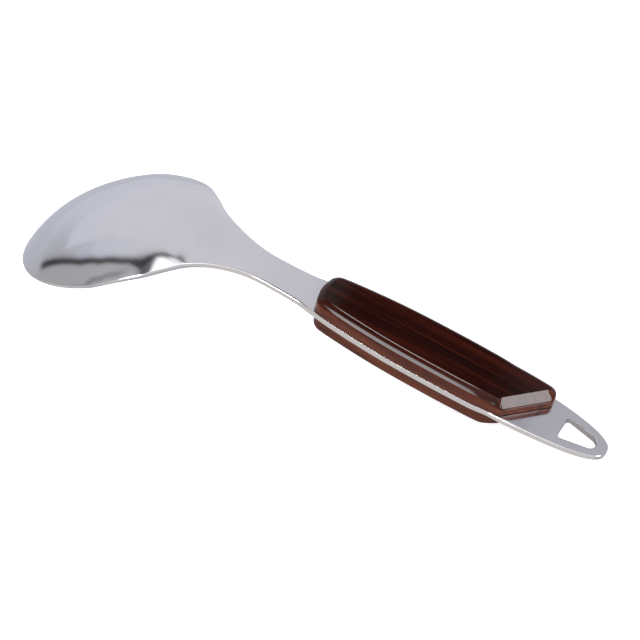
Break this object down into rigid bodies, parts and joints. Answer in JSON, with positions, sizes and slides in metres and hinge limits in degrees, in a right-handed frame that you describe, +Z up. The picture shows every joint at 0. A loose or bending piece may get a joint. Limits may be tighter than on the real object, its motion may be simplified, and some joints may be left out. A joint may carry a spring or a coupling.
{
  "type": "serving spoon",
  "caption": "Stamped steel serving spoon with an angled oval bowl, arched neck, slotted hanging tab and glossy wood-grain handle scales pinned through the tang.",
  "frame": {"origin": "centre of the footprint, on the surface the spoon lies on, face down", "axes": "+X from the bowl to the hanging tab, +Y to the spoon's side, +Z up from the surface, out of the bowl's back"},
  "size_m": [0.2426, 0.0668, 0.043],
  "materials": {
    "polished_steel": "fine polish, slightly brushed along the spoon",
    "lacquered_wood": "thick clear gloss over dark reddish-brown straight grain",
    "pin_steel": "turned"
  },
  "bodies": {
    "root": {"bowl_and_tang": "polished_steel", "upper_handle_scale": "lacquered_wood", "lower_handle_scale": "lacquered_wood", "front_handle_pin": "pin_steel", "middle_handle_pin": "pin_steel", "tail_handle_pin": "pin_steel"}
  },
  "joints": []
}
